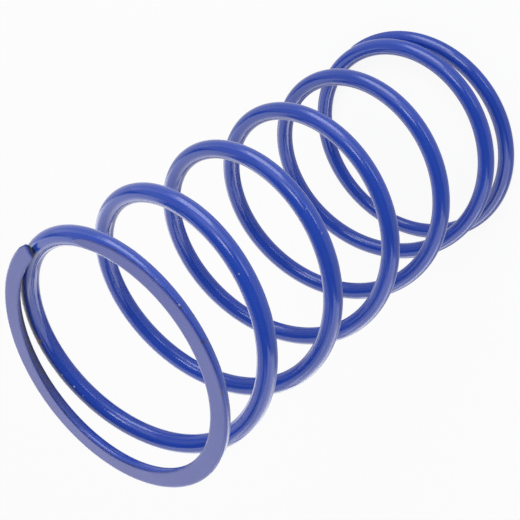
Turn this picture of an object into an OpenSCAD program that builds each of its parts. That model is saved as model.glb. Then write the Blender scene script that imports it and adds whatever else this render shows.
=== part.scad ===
// Torque spring: a cylindrical compression spring wound from one length of round wire.
// It stands on its lower ground end, with the coil axis on +Z and the ground face on z = 0.

/* [Wire] */
// Diameter of the spring wire, coat included
wire_d = 4.4; // [3:0.1:5]

/* [Coil] */
// Diameter over the outside of the active turns
outside_d = 60; // [50:1:80]
// Height between the two ground ends with no load
free_length = 126; // [100:1:160]
// Turns from one tip of the wire to the other
total_turns = 7; // [6:0.25:8]
// Direction of the winding
winding = "left"; // [left, right]

/* [Closed and ground ends] */
// Turns at each end that keep the low closing pitch
closed_turns = 0.7; // [0.65:0.05:1]
// Turns over which the closing pitch and the width change to those of the active turns
blend_turns = 0.65; // [0.5:0.05:0.8]
// Clearance between the wire's tip and the turn that it closes on
tip_clearance = 0.1; // [0.1:0.05:0.6]
// Thickness that grinding leaves at the wire's tip
tip_thickness = 1.2; // [0.8:0.1:2.4]
// How far each closed turn sags below a true helix near its tip, and then rises above it
end_bow = 0.9; // [0:0.1:1.2]
// How far the lower closed turn stands out past the active turns, on the radius
lower_opening = 1.1; // [0:0.1:2]
// How far the upper closed turn stands out past the active turns, on the radius
upper_opening = 0.7; // [0:0.1:2]

/* [Hidden] */

coat_colour = [0.16, 0.27, 0.62];
// Facets round the wire and along each turn
wire_sides = 16;
turn_steps = 44;
turn_step = 1 / turn_steps;

wire_r = wire_d / 2;
coil_r = outside_d / 2 - wire_r;
rings = ceil(total_turns * turn_steps);
hand = winding == "left" ? -1 : 1;
// Width of the space between the grinding wheels, which takes in the whole coil
wheel_w = 2 * outside_d;

// The wire's centre starts this far outside the ground face, so that the tip keeps its thickness.
tip_rise = wire_r - tip_thickness;
// One turn on from the tip, the wire has moved along the axis by its own width and the clearance.
closing_climb = wire_d + tip_clearance;
// Turns' worth of full pitch that the whole coil holds, and that its first turn holds
full_turns = 2 * full_share(total_turns / 2);
first_share = full_share(1);
// The free length and the closing climb together set how much the pitch grows.
pitch_gain = (free_length + 2 * tip_rise - closing_climb * total_turns)
    / (full_turns - first_share * total_turns);
closing_pitch = closing_climb - pitch_gain * first_share;

// How far the blend has gone, from 0 in the closed turns to 1 in the active coil
function blend(turn) = min(max((turn - closed_turns) / blend_turns, 0), 1);

// Share of the full pitch reached at a turn, as a smooth step of the blend
function full_step(turn) = let (v = blend(turn)) 3 * v ^ 2 - 2 * v ^ 3;

// Area under that step, counted from the nearer tip
function full_share(turn) =
    let (v = blend(turn))
    blend_turns * (v ^ 3 - v ^ 4 / 2) + max(turn - closed_turns - blend_turns, 0);

// Distance of the wire's centre from the coil's axis, at a turn counted from the lower tip
function radius(turn) =
    coil_r + (turn < total_turns / 2
              ? lower_opening * (1 - full_step(turn))
              : upper_opening * (1 - full_step(total_turns - turn)));

// Distance of the closed turn from a true helix, counted from the nearer tip
function bow(turn) = end_bow * sin(360 * turn) * (1 - full_step(turn));

// Height of the wire's centre at a turn, and its pitch there
function height(turn) =
    turn <= total_turns / 2
    ? closing_pitch * turn + pitch_gain * full_share(turn) + bow(turn) - tip_rise
    : free_length - height(total_turns - turn);
function pitch(turn) = (height(turn + turn_step) - height(turn - turn_step)) / (2 * turn_step);

// A point on the wire's skin, in the plane that cuts the wire square
function skin(turn, angle) =
    let (
        lean = atan(hand * pitch(turn) / (2 * PI * radius(turn))),
        out = radius(turn) + wire_r * cos(angle),
        side = wire_r * sin(angle)
    )
    turned(hand * 360 * turn, [out, -side * sin(lean), height(turn) + side * cos(lean)]);

// A point turned about the coil's axis
function turned(angle, p) = [
    p.x * cos(angle) - p.y * sin(angle),
    p.x * sin(angle) + p.y * cos(angle),
    p.z
];

// The wire as it is wound, with square cut tips that still stand past both end faces
module wound_wire() {
    points = [
        for (i = [0 : rings], s = [0 : wire_sides - 1])
            skin(total_turns * i / rings, -hand * 360 * s / wire_sides)
    ];
    sides = [
        for (i = [0 : rings - 1], s = [0 : wire_sides - 1])
            let (
                a = i * wire_sides + s,
                b = i * wire_sides + (s + 1) % wire_sides
            )
            each [[a, b + wire_sides, b], [a, a + wire_sides, b + wire_sides]]
    ];
    lower_tip = [for (s = [0 : wire_sides - 1]) s];
    upper_tip = [for (s = [1 : wire_sides]) (rings + 1) * wire_sides - s];
    polyhedron(points, concat([lower_tip], sides, [upper_tip]), convexity = 20);
}

// Grinding leaves only what lies between the two end faces.
module coil() {
    color(coat_colour)
        intersection() {
            wound_wire();
            translate([-wheel_w / 2, -wheel_w / 2, 0])
                cube([wheel_w, wheel_w, free_length]);
        }
}

coil();
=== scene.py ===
import math

import bmesh
import bpy
from mathutils import Matrix, Vector


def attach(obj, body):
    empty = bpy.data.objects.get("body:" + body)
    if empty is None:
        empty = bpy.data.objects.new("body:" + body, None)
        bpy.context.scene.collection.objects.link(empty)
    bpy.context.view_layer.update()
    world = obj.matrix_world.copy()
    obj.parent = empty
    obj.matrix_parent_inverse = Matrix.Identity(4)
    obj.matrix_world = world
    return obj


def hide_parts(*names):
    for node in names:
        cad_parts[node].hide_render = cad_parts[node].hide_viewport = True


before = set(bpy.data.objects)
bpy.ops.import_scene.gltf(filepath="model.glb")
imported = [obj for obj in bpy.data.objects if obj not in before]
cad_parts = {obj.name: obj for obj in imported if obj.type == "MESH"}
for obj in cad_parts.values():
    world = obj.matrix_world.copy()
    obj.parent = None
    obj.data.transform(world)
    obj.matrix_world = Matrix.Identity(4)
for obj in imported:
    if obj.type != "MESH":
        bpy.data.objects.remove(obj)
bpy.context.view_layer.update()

print("frame loaded")


def addNode(tree, kind, x, y):
    made = tree.nodes.new(kind)
    made.location = (x, y)
    return made


def newMaterial(name):
    made = bpy.data.materials.new(name)
    made.use_nodes = True
    tree = made.node_tree
    shader = tree.nodes["Principled BSDF"]
    shader.location = (600, 0)
    tree.nodes["Material Output"].location = (900, 0)
    return made, tree, shader


def addNoise(tree, vector, scale, detail, x, y):
    noise = addNode(tree, "ShaderNodeTexNoise", x, y)
    noise.inputs["Scale"].default_value = scale
    noise.inputs["Detail"].default_value = detail
    tree.links.new(vector, noise.inputs["Vector"])
    return noise.outputs["Fac"]


def addRamp(tree, value, stops, x, y):
    ramp = addNode(tree, "ShaderNodeValToRGB", x, y)
    ramp.color_ramp.elements[0].position = stops[0][0]
    ramp.color_ramp.elements[0].color = (*stops[0][1], 1)
    ramp.color_ramp.elements[1].position = stops[-1][0]
    ramp.color_ramp.elements[1].color = (*stops[-1][1], 1)
    for place, colour in stops[1:-1]:
        ramp.color_ramp.elements.new(place).color = (*colour, 1)
    tree.links.new(value, ramp.inputs["Fac"])
    return ramp.outputs["Color"]


def addRange(tree, value, low, high, toLow, toHigh, x, y):
    span = addNode(tree, "ShaderNodeMapRange", x, y)
    span.interpolation_type = "SMOOTHSTEP"
    span.inputs["From Min"].default_value = low
    span.inputs["From Max"].default_value = high
    span.inputs["To Min"].default_value = toLow
    span.inputs["To Max"].default_value = toHigh
    tree.links.new(value, span.inputs["Value"])
    return span.outputs["Result"]


def addMath(tree, kind, first, second, x, y):
    sums = addNode(tree, "ShaderNodeMath", x, y)
    sums.operation = kind
    for socket, value in zip(sums.inputs, (first, second)):
        if isinstance(value, (int, float)):
            socket.default_value = value
        else:
            tree.links.new(value, socket)
    return sums.outputs["Value"]


def addMix(tree, factor, below, above, x, y):
    mix = addNode(tree, "ShaderNodeMix", x, y)
    mix.data_type = "RGBA"
    tree.links.new(factor, mix.inputs["Factor"])
    for name, value in (("A", below), ("B", above)):
        socket = [s for s in mix.inputs if s.name == name and s.type == "RGBA"][0]
        if isinstance(value, tuple):
            socket.default_value = (*value, 1)
        else:
            tree.links.new(value, socket)
    return [s for s in mix.outputs if s.type == "RGBA"][0]


def addBump(tree, height, strength, distance, x, y, under=None):
    bump = addNode(tree, "ShaderNodeBump", x, y)
    bump.inputs["Strength"].default_value = strength
    bump.inputs["Distance"].default_value = distance
    tree.links.new(height, bump.inputs["Height"])
    if under is not None:
        tree.links.new(under, bump.inputs["Normal"])
    return bump.outputs["Normal"]


mm = 0.001

# spots on the wire, as place in mm and radius in mm
wireSpots = {
    "full": 0.6,             # shares of its radius at which a spot is full, and gone
    "gone": 1.2,
    "paleSpecks": [
        ((3.95, 26.87, 120.43), 0.20),
        ((0.13, 26.8, 119.79), 0.24),
        ((-2.73, 26.61, 119.41), 0.18),
        ((-0.59, -28.74, 107.77), 0.20),
        ((1.91, -29.44, 82.31), 0.15),
        ((-4.21, -29.51, 82.74), 0.16),
        ((1.54, -30.48, 125.7), 0.20),
        ((-25.78, 5.5, 125.83), 0.18),
    ],
    "darkChips": [
        ((0.99, -30.48, 125.92), 0.28),
        ((-6.67, -29.81, 125.76), 0.36),
    ],
    "rustSpots": [
        ((13.0, 24.1, 121.6), 0.50),
        ((14.2, 23.4, 121.75), 0.34),
    ],
    # painted shade where the sheared tip lies against the next turn
    "tipShadeSpot": ((28.4, 0.4, 124.7), 1.5),
}


def addSpots(tree, vector, spots, wobble, x, y):
    total = None
    for n, (place, radius) in enumerate(spots):
        reach = addNode(tree, "ShaderNodeVectorMath", x, y - 160 * n)
        reach.operation = "DISTANCE"
        reach.inputs[1].default_value = [mm * c for c in place]
        tree.links.new(vector, reach.inputs[0])
        ragged = addMath(tree, "MULTIPLY", reach.outputs["Value"], wobble, x + 180, y - 160 * n)
        full, gone = wireSpots["full"] * mm * radius, wireSpots["gone"] * mm * radius
        spot = addRange(tree, ragged, full, gone, 1, 0, x + 360, y - 160 * n)
        total = spot if total is None else addMath(tree, "MAXIMUM", total, spot, x + 540, y - 160 * n)
    return total


coat = {
    "deep": (0.011, 0.050, 0.37),
    "light": (0.015, 0.060, 0.42),
    "chip": (0.030, 0.022, 0.014),
    "speck": (0.42, 0.50, 0.60),
    # colour of the painted shade at the tip
    "tipShade": (0.012, 0.017, 0.016),
    "rust": (0.15, 0.085, 0.035),
    # dull dark grey for the inner wall of the upper end turn, also used as painted shade on the seat where
    # the end turns meet
    "dullAndShade": (0.040, 0.036, 0.044),
    "driftScale": 55,        # slow change of film thickness
    "fineScale": 700,
    "lumpScale": 240,        # runs and lumps of the film
    "peelScale": 1300,       # orange peel
    "lumpBump": (0.012, 0.0004),
    "peelBump": (0.006, 0.00008),
    "chipBump": (-0.5, 0.0001),
    # how far the painted shade at the tip darkens the coat
    "tipShadeShare": 0.85,
    "speckShare": 0.6,
    "roughness": (0.13, 0.19),
    "wornAndShadedRoughness": 0.35,   # what chips, rust, the dull inner wall and the painted shade on the seat add
    "ior": 1.5,
}


def makeCoat():
    made, tree, shader = newMaterial("glossCoat")
    coords = addNode(tree, "ShaderNodeTexCoord", -1700, 0).outputs["Object"]
    drift = addNoise(tree, coords, coat["driftScale"], 3, -1400, 300)
    colour = addRamp(tree, drift, [(0.3, coat["deep"]), (0.7, coat["light"])], -1200, 300)
    fine = addNoise(tree, coords, coat["fineScale"], 4, -1400, 0)
    wobble = addRange(tree, fine, 0.3, 0.7, 0.6, 1.6, -1200, 0)
    # painted shade: darkens the coat round the tip, where it lies against the next turn
    tipShade = addSpots(tree, coords, [wireSpots["tipShadeSpot"]], wobble, -1000, 900)
    tipShade = addMath(tree, "MULTIPLY", tipShade, coat["tipShadeShare"], -300, 900)
    colour = addMix(tree, tipShade, colour, coat["tipShade"], -200, 500)
    film = addNode(tree, "ShaderNodeAttribute", -1000, 1300)      # painted shade where the end turns meet, and the dull dark inner wall of the upper end turn
    film.attribute_name = "dullAndShade"
    patchy = addRange(tree, fine, 0.35, 0.55, 0.7, 1, -800, 1400)
    dullAndShadeMask = addMath(tree, "MULTIPLY", film.outputs["Fac"], patchy, -600, 1300)
    colour = addMix(tree, dullAndShadeMask, colour, coat["dullAndShade"], 0, 600)
    pale = addSpots(tree, coords, wireSpots["paleSpecks"], wobble, -1000, -400)
    pale = addMath(tree, "MULTIPLY", pale, coat["speckShare"], -300, 300)
    colour = addMix(tree, pale, colour, coat["speck"], -50, 400)
    chips = addSpots(tree, coords, wireSpots["darkChips"], wobble, -1000, -1700)
    colour = addMix(tree, chips, colour, coat["chip"], 100, 300)
    rust = addSpots(tree, coords, wireSpots["rustSpots"], wobble, -1000, -2400)
    colour = addMix(tree, rust, colour, coat["rust"], 250, 300)
    tree.links.new(colour, shader.inputs["Base Color"])
    rough = addRange(tree, fine, 0.25, 0.75, *coat["roughness"], 100, 0)
    wornAndShaded = addMath(tree, "MAXIMUM", addMath(tree, "MAXIMUM", chips, rust, -100, -150), dullAndShadeMask, 0, -150)
    wornAndShadedRough = addMath(tree, "MULTIPLY", wornAndShaded, coat["wornAndShadedRoughness"], 100, -150)
    tree.links.new(addMath(tree, "ADD", rough, wornAndShadedRough, 250, 0), shader.inputs["Roughness"])
    lumps = addNoise(tree, coords, coat["lumpScale"], 1, -600, -200)
    peel = addNoise(tree, coords, coat["peelScale"], 1, -600, -400)
    normal = addBump(tree, lumps, *coat["lumpBump"], 100, -300)
    normal = addBump(tree, peel, *coat["peelBump"], 250, -400, normal)
    normal = addBump(tree, chips, *coat["chipBump"], 400, -500, normal)
    tree.links.new(normal, shader.inputs["Normal"])
    shader.inputs["IOR"].default_value = coat["ior"]
    return made


ground = {
    # paler, greyer blue than the coat: thinner paint on the ground faces, with a painted reflection of the
    # pale panels added into the colour
    "thinWithSheen": (0.062, 0.080, 0.325),
    "full": (0.080, 0.102, 0.368),
    "lineTurn": 28,          # degrees between the grinding marks and X
    "lineScale": (60, 2600, 60),
    "lineShare": 0.12,
    "cloudScale": 90,
    "fineScale": 800,
    "lineBump": (0.005, 0.00006),
    "cloudBump": (0.03, 0.0005),
    "roughness": (0.24, 0.27),
    "ior": 1.5,
}


def makeGround():
    made, tree, shader = newMaterial("groundEnd")
    coords = addNode(tree, "ShaderNodeTexCoord", -1500, 0).outputs["Object"]
    turned = addNode(tree, "ShaderNodeMapping", -1300, -200)
    turned.inputs["Rotation"].default_value = (0, 0, math.radians(ground["lineTurn"]))
    turned.inputs["Scale"].default_value = ground["lineScale"]
    tree.links.new(coords, turned.inputs["Vector"])
    lines = addNoise(tree, turned.outputs["Vector"], 1, 3, -1100, -200)   # marks of the wheel
    cloud = addNoise(tree, coords, ground["cloudScale"], 3, -1100, 200)
    faint = addMath(tree, "MULTIPLY", lines, ground["lineShare"], -900, -100)
    both = addMath(tree, "ADD", cloud, faint, -700, 100)
    colour = addRamp(tree, both, [(0.36, ground["thinWithSheen"]), (0.76, ground["full"])], -500, 200)
    fine = addNoise(tree, coords, ground["fineScale"], 4, -1100, -500)
    wobble = addRange(tree, fine, 0.3, 0.7, 0.6, 1.6, -900, -500)
    chips = addSpots(tree, coords, wireSpots["darkChips"], wobble, -700, -700)
    colour = addMix(tree, chips, colour, coat["chip"], 100, 200)
    tree.links.new(colour, shader.inputs["Base Color"])
    rough = addRange(tree, lines, 0.2, 0.8, *ground["roughness"], 100, 0)
    tree.links.new(rough, shader.inputs["Roughness"])
    normal = addBump(tree, lines, *ground["lineBump"], 250, -300)
    normal = addBump(tree, cloud, *ground["cloudBump"], 400, -400, normal)
    tree.links.new(normal, shader.inputs["Normal"])
    shader.inputs["IOR"].default_value = ground["ior"]
    return made


edge = {
    "blue": (0.010, 0.028, 0.24),
    "nick": (0.010, 0.012, 0.018),
    "steel": (0.30, 0.30, 0.32),
    "scale": 520,
    "bump": (0.5, 0.00012),
    "roughness": (0.5, 0.3),
}


def makeEdge():
    made, tree, shader = newMaterial("nickedEdge")
    coords = addNode(tree, "ShaderNodeTexCoord", -900, 0).outputs["Object"]
    nicks = addNoise(tree, coords, edge["scale"], 5, -700, 0)
    colour = addRamp(tree, nicks, [
        (0.34, edge["nick"]), (0.50, edge["blue"]), (0.66, edge["blue"]), (0.74, edge["steel"]),
    ], -500, 100)
    tree.links.new(colour, shader.inputs["Base Color"])
    rough = addRange(tree, nicks, 0.3, 0.7, *edge["roughness"], 200, 0)
    tree.links.new(rough, shader.inputs["Roughness"])
    tree.links.new(addBump(tree, nicks, *edge["bump"], 300, -300), shader.inputs["Normal"])
    return made


tip = {
    "steel": (0.035, 0.040, 0.036),
    "paint": (0.012, 0.034, 0.20),
    "scale": 900,
    "bump": (0.6, 0.0002),
    "roughness": (0.65, 0.4),
}


def makeTip():
    made, tree, shader = newMaterial("shearedTip")
    coords = addNode(tree, "ShaderNodeTexCoord", -900, 0).outputs["Object"]
    torn = addNoise(tree, coords, tip["scale"], 4, -700, 0)
    colour = addRamp(tree, torn, [(0.42, tip["steel"]), (0.6, tip["paint"])], -500, 100)
    tree.links.new(colour, shader.inputs["Base Color"])
    rough = addRange(tree, torn, 0.3, 0.7, *tip["roughness"], 200, 0)
    tree.links.new(rough, shader.inputs["Roughness"])
    tree.links.new(addBump(tree, torn, *tip["bump"], 300, -300), shader.inputs["Normal"])
    return made


# the coil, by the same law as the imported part, in metres
coil = {
    "wire": 0.0044,
    "outside": 0.060,
    "length": 0.126,
    "turns": 7.0,
    "closed": 0.7,
    "blend": 0.65,
    "clearance": 0.0001,
    "tipThickness": 0.0012,
    "bow": 0.0009,
    "lowerOpening": 0.0011,
    "upperOpening": 0.0007,
    "skinIn": 0.00004,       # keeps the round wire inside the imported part's box
    "tipPinch": 0.03,        # share of its width that the sheared wire loses at the tip
    "pinchTurns": 0.012,
    "tipLead": 0.0012,       # how far the outer corner of the tip leads the inner one
    "tipCorner": 0.0005,     # how far that corner is knocked in
    "sides": 40,
    "stepsPerTurn": 132,
    # the coat rounds the ground edge: widths of its steps from the outline inward, and how far each sinks
    "edgeSteps": (0.00014, 0.00018, 0.00022),
    "edgeDrops": (0.00022, 0.00011, 0.00003),
    "edgeDepth": 0.0007,     # depth of grinding from which the edge is rounded in full
    "edgeZone": 0.0006,      # height of the wall that sinks with the outline
    "rimMerge": 0.00015,     # points of the outline closer than this become one
    # dull dark grey on the inner wall of the upper end turn, and painted shade on the seat where the end
    # turns meet, in turns from its tip: where each starts, is full, starts to fade and is gone
    "wallDull": (0.04, 0.10, 0.18, 0.34),
    "seatShade": (1.02, 1.08, 1.16, 1.45),
    "wallSide": (0.1, 0.6),      # where round the wire each starts and is full, in wire radii
    "seatTop": (0.86, 0.985),
    "wallShare": 0.85,
    "seatShare": 0.9,
    "tolerance": 1e-6,
    "groundSlot": 1,             # the coat's slot is 0
    "edgeSlot": 2,
    "tipSlot": 3,
}
wireR = coil["wire"] / 2
coilR = coil["outside"] / 2 - wireR
tipRise = wireR - coil["tipThickness"]


def smooth(value, low, high):
    v = min(max((value - low) / (high - low), 0), 1)
    return v * v * (3 - 2 * v)


def blendAt(turn):
    return min(max((turn - coil["closed"]) / coil["blend"], 0), 1)


def fullShare(turn):
    v = blendAt(turn)
    return coil["blend"] * (v ** 3 - v ** 4 / 2) + max(turn - coil["closed"] - coil["blend"], 0)


closingClimb = coil["wire"] + coil["clearance"]
wholeShare = 2 * fullShare(coil["turns"] / 2) - fullShare(1) * coil["turns"]
pitchGain = (coil["length"] + 2 * tipRise - closingClimb * coil["turns"]) / wholeShare
closingPitch = closingClimb - pitchGain * fullShare(1)


def fullStep(turn):
    v = blendAt(min(turn, coil["turns"] - turn))
    return 3 * v ** 2 - 2 * v ** 3


def heightAt(turn):
    if turn > coil["turns"] / 2:
        return coil["length"] - heightAt(coil["turns"] - turn)
    bow = coil["bow"] * math.sin(2 * math.pi * turn) * (1 - fullStep(turn))
    return closingPitch * turn + pitchGain * fullShare(turn) + bow - tipRise


def radiusAt(turn):
    opening = coil["lowerOpening"] if turn < coil["turns"] / 2 else coil["upperOpening"]
    return coilR + opening * (1 - fullStep(turn))


def leanAt(turn):
    near = 0.01
    pitch = (heightAt(turn + near) - heightAt(turn - near)) / (2 * near)
    return -math.atan(pitch / (2 * math.pi * radiusAt(turn)))


def widthAt(turn):
    near = min(turn, coil["turns"] - turn) / coil["pinchTurns"]
    return 1 - coil["tipPinch"] * max(1 - near, 0) ** 2


# how far the edge is rounded, from 0 where the flat starts to 1 where the wire is ground deep
def roundingAt(turn, height, facing):
    depth = facing * (heightAt(turn) - height) + wireR
    return smooth(depth, 0, coil["edgeDepth"])


def grindEnd(bm, along, height, facing):
    everything = bm.verts[:] + bm.edges[:] + bm.faces[:]
    cut = bmesh.ops.bisect_plane(bm, geom=everything, dist=coil["tolerance"], plane_co=(0, 0, height),
                                 plane_no=(0, 0, facing), clear_outer=True)["geom_cut"]
    points = [g for g in cut if isinstance(g, bmesh.types.BMVert)]
    bmesh.ops.remove_doubles(bm, verts=points, dist=coil["rimMerge"])
    rim = [e for e in bm.edges if e.is_boundary]
    outline = {v for e in rim for v in e.verts}
    flat = bmesh.ops.edgeloop_fill(bm, edges=rim, mat_nr=coil["groundSlot"])["faces"]
    sunk = []
    for point in set(bm.verts) - outline:
        below = facing * (height - point.co.z) / coil["edgeZone"]
        if below < 1:
            drop = coil["edgeDrops"][0] * (1 - below) ** 2
            sunk.append((point, facing * drop * roundingAt(point[along], height, facing)))
    for step, (width, drop) in enumerate(zip(coil["edgeSteps"], coil["edgeDrops"])):
        border = bmesh.ops.inset_region(bm, faces=flat, thickness=width,
                                        use_even_offset=True)["faces"]
        inside = {v for f in flat for v in f.verts}
        outline = {v for f in border for v in f.verts} - inside
        for face in border:
            face.material_index = coil["groundSlot"] if step else coil["edgeSlot"]
            face.smooth = True
        for point in outline:
            share = roundingAt(point[along], height, facing)
            for e in point.link_edges:
                inner = e.other_vert(point)
                if inner in inside:
                    inner.co = point.co.lerp(inner.co, share)
            sunk.append((point, facing * drop * share))
    for point, drop in sunk:
        point.co.z -= drop
    print("ground end:", len(flat), "face,", len(sunk), "points round it")


def shearTip(ring, turn):
    angle = -2 * math.pi * turn
    outward = Vector((math.cos(angle), math.sin(angle), 0))
    ahead = Vector((-outward.y, outward.x, 0)) * (1 if turn < 1 else -1)
    for point in ring:
        out = (point.co.dot(outward) - radiusAt(turn)) / wireR / 2 + 0.5
        point.co += ahead * coil["tipLead"] * out - outward * coil["tipCorner"] * out ** 3


# share of one dark band at a place along the wire: the dull inner wall and the painted seat shade each
# have their own span
def bandSpan(fromTip, span):
    on, full, fade, off = span
    return smooth(fromTip, on, full) * (1 - smooth(fromTip, fade, off))


# share of the dull dark grey at a point: on the inner wall of the upper end turn, and as painted shade on
# top of the next turn where the end turn sits on it
def dullAndShadeAt(point, turn):
    fromTip = coil["turns"] - turn
    outward = (Vector((point.x, point.y, 0)).length - radiusAt(turn)) / wireR
    upward = (point.z - heightAt(turn)) / wireR
    wall = bandSpan(fromTip, coil["wallDull"]) * smooth(-outward, *coil["wallSide"])
    seat = bandSpan(fromTip, coil["seatShade"]) * smooth(upward, *coil["seatTop"])
    return max(coil["wallShare"] * wall, coil["seatShare"] * seat)


def makeCoil():
    bm = bmesh.new()
    along = bm.verts.layers.float.new("turn")
    dullAndShade = bm.verts.layers.float.new("dullAndShade")
    ring = bmesh.ops.create_circle(bm, radius=(wireR - coil["skinIn"]) * widthAt(0),
                                   segments=coil["sides"])["verts"]
    bmesh.ops.rotate(bm, verts=ring, matrix=Matrix.Rotation(math.pi / 2 + leanAt(0), 3, "X"))
    bmesh.ops.translate(bm, verts=ring, vec=(radiusAt(0), 0, heightAt(0)))
    steps = round(coil["turns"] * coil["stepsPerTurn"])
    turnStep = coil["turns"] / steps
    swept = ring + bm.edges[:]
    firstRing = bm.edges[:]
    firstPoints = ring
    for n in range(1, steps + 1):
        turn = n * turnStep
        rise = heightAt(turn) - heightAt(turn - turnStep)
        swept = bmesh.ops.spin(bm, geom=swept, cent=(0, 0, 0), axis=(0, 0, 1), dvec=(0, 0, rise),
                               angle=-2 * math.pi * turnStep, steps=1)["geom_last"]
        angle = -2 * math.pi * turn
        outward = Vector((math.cos(angle), math.sin(angle), 0))
        centre = outward * radiusAt(turn) + Vector((0, 0, heightAt(turn)))
        ring = [g for g in swept if isinstance(g, bmesh.types.BMVert)]
        for point in ring:
            point[along] = turn
        bmesh.ops.translate(bm, verts=ring, vec=outward * (radiusAt(turn) - radiusAt(turn - turnStep)))
        tilt = Matrix.Rotation(leanAt(turn) - leanAt(turn - turnStep), 3, outward)
        bmesh.ops.rotate(bm, verts=ring, cent=centre, matrix=tilt)
        wider = widthAt(turn) / widthAt(turn - turnStep)
        bmesh.ops.scale(bm, verts=ring, vec=(wider, wider, wider), space=Matrix.Translation(-centre))
    lastRing = [g for g in swept if isinstance(g, bmesh.types.BMEdge)]
    shearTip(firstPoints, 0)
    shearTip(ring, coil["turns"])
    for face in bm.faces:
        face.smooth = True
    bmesh.ops.edgeloop_fill(bm, edges=firstRing, mat_nr=coil["tipSlot"])
    bmesh.ops.edgeloop_fill(bm, edges=lastRing, mat_nr=coil["tipSlot"])
    grindEnd(bm, along, coil["length"], 1)
    grindEnd(bm, along, 0, -1)
    bmesh.ops.remove_doubles(bm, verts=bm.verts[:], dist=coil["tolerance"])
    bmesh.ops.recalc_face_normals(bm, faces=bm.faces[:])
    for point in bm.verts:
        # stores the dull inner wall and the painted seat shade at each point
        point[dullAndShade] = dullAndShadeAt(point.co, point[along])
    mesh = bpy.data.meshes.new("coilWire")
    bm.to_mesh(mesh)
    bm.free()
    made = bpy.data.objects.new("coilWire", mesh)
    bpy.context.scene.collection.objects.link(made)
    for material in (makeCoat(), makeGround(), makeEdge(), makeTip()):
        mesh.materials.append(material)
    return made


coilWire = makeCoil()
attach(coilWire, "root")
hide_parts("coil")
print("coil made:", len(coilWire.data.polygons), "faces")


floor = {
    "radius": 4.0,
    "wall": 1.1,             # height of the paper wall round it
    "colour": (0.92, 0.92, 0.92),
    "white": 0.90,           # share of plain white that the camera and reflections see
    "sides": 96,
    "below": 0.0001,         # keeps it clear of the lower flat
}


def makeFloor():
    bm = bmesh.new()
    bmesh.ops.create_circle(bm, cap_ends=True, radius=floor["radius"], segments=floor["sides"])
    wall = bmesh.ops.extrude_edge_only(bm, edges=bm.edges[:])["geom"]
    raised = [g for g in wall if isinstance(g, bmesh.types.BMVert)]
    bmesh.ops.translate(bm, verts=raised, vec=(0, 0, floor["wall"]))
    bmesh.ops.translate(bm, verts=bm.verts[:], vec=(0, 0, -floor["below"]))
    mesh = bpy.data.meshes.new("floor")
    bm.to_mesh(mesh)
    bm.free()
    made = bpy.data.objects.new("floor", mesh)
    bpy.context.scene.collection.objects.link(made)
    paper, tree, shader = newMaterial("whitePaper")
    paper.cycles.emission_sampling = "NONE"       # it is seen, but isn't a lamp
    tree.nodes.remove(shader)
    matt = addNode(tree, "ShaderNodeBsdfDiffuse", 200, 100)
    matt.inputs["Color"].default_value = (*floor["colour"], 1)
    white = addNode(tree, "ShaderNodeEmission", 200, -100)
    white.inputs["Color"].default_value = (1, 1, 1, 1)
    white.inputs["Strength"].default_value = 1.0
    rays = addNode(tree, "ShaderNodeLightPath", -600, 200).outputs
    seen = addMath(tree, "MAXIMUM", rays["Is Camera Ray"], rays["Is Glossy Ray"], -400, 200)
    seen = addMath(tree, "MAXIMUM", seen, rays["Is Transmission Ray"], -200, 200)
    share = addMath(tree, "MULTIPLY", seen, floor["white"], 0, 200)
    both = addNode(tree, "ShaderNodeMixShader", 500, 0)
    tree.links.new(share, both.inputs[0])
    tree.links.new(matt.outputs["BSDF"], both.inputs[1])
    tree.links.new(white.outputs["Emission"], both.inputs[2])
    tree.links.new(both.outputs["Shader"], tree.nodes["Material Output"].inputs["Surface"])
    mesh.materials.append(paper)
    return made


makeFloor()
print("floor made")


# panels as direction from the coil in degrees (height, bearing), distance, width, height, brightness, turn
keyPanels = {
    "highStrip": (42, -53, 1.0, 0.32, 0.20, 6.0, 20),
    "glowPanel": (38, -36, 0.50, 0.34, 0.22, 0.9, 0),
}
# cards that only shine in the coat
cards = {
    "backCard": (22, 99, 0.24, 0.40, 0.32, 1.6, 0),
    "sideCard": (20, 176, 0.24, 0.31, 0.31, 2.4, 0),
    "topCard": (62, 130, 0.40, 0.36, 0.16, 1.2, 0),
    "frontCard": (33, -5, 0.50, 0.90, 0.50, 0.6, 0),
    "lowCard": (4, -33, 0.24, 0.15, 0.125, 3.6, 0),
    "lowGlow": (8, -38, 0.30, 0.36, 0.18, 1.1, 0),
    "footCard": (-12, 158, 0.16, 0.18, 0.06, 2.4, 0),
    "lowStrip": (8, -84.5, 1.0, 0.30, 0.20, 3.5, 0),
}
# soft lamps for the plain light, which don't shine in the coat
softLamps = {
    "ceiling": (90, 0, 2.4, 6.0, 6.0, 0.72, 0),
    "softKey": (24, -60, 0.60, 0.40, 0.40, 1.9, 0),
}
room = 0.15                  # brightness of the world
coilMiddle = Vector((0, 0, coil["length"] / 2))


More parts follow.
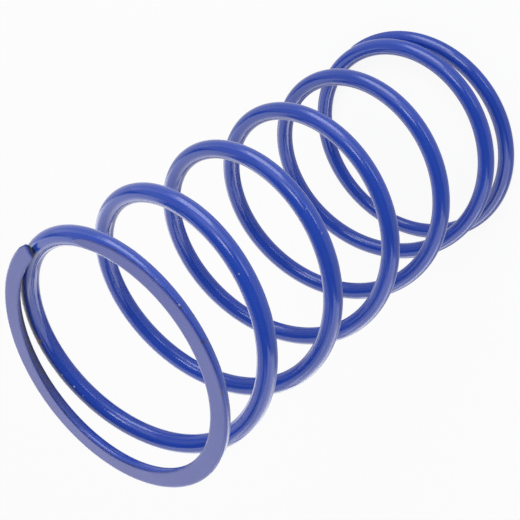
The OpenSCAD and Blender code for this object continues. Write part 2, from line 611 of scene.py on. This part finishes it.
def addLamp(name, width, tall, bright, place, facing):
    data = bpy.data.lights.new(name, "AREA")
    data.shape = "RECTANGLE"
    data.size = width
    data.size_y = tall
    data.energy = bright * math.pi * width * tall
    made = bpy.data.objects.new(name, data)
    bpy.context.scene.collection.objects.link(made)
    made.matrix_world = Matrix.Translation(place) @ facing.to_4x4()
    made.visible_camera = False
    return made


def addPanel(name, size):
    height, bearing, distance, width, tall, bright, turn = size
    h, b = math.radians(height), math.radians(bearing)
    away = Vector((math.cos(h) * math.cos(b), math.cos(h) * math.sin(b), math.sin(h)))
    facing = away.to_track_quat("Z", "Y").to_matrix() @ Matrix.Rotation(math.radians(turn), 3, "Z")
    return addLamp(name, width, tall, bright, coilMiddle + away * distance, facing)


for name, size in keyPanels.items():
    addPanel(name, size)
for name, size in cards.items():
    addPanel(name, size).visible_diffuse = False
for name, size in softLamps.items():
    addPanel(name, size).visible_glossy = False
world = bpy.data.worlds.new("room")
bpy.context.scene.world = world
world.use_nodes = True
world.node_tree.nodes["Background"].inputs["Color"].default_value = (1, 1, 1, 1)
world.node_tree.nodes["Background"].inputs["Strength"].default_value = room
print("lamps made")


cameraView = {
    "tilt": 47.712,          # degrees off the coil's axis
    "roll": 232.995,
    "turn": 1.427,
    "aim": (-0.00607, -0.006575, 0.270043),     # right, up and back from the coil's middle
    "lens": 76.4965,
    "sensor": 36,
    "nearest": 0.01,
}


def makeCamera():
    data = bpy.data.cameras.new("camera")
    data.sensor_width = cameraView["sensor"]
    data.lens = cameraView["lens"]
    data.clip_start = cameraView["nearest"]
    made = bpy.data.objects.new("camera", data)
    bpy.context.scene.collection.objects.link(made)
    facing = (Matrix.Rotation(math.radians(cameraView["turn"]), 3, "Z")
              @ Matrix.Rotation(math.radians(cameraView["tilt"]), 3, "X")
              @ Matrix.Rotation(math.radians(cameraView["roll"]), 3, "Z"))
    place = coilMiddle + facing @ Vector(cameraView["aim"])
    made.matrix_world = Matrix.Translation(place) @ facing.to_4x4()
    bpy.context.scene.camera = made


makeCamera()
bpy.context.scene.view_settings.view_transform = "Standard"
print("camera made")
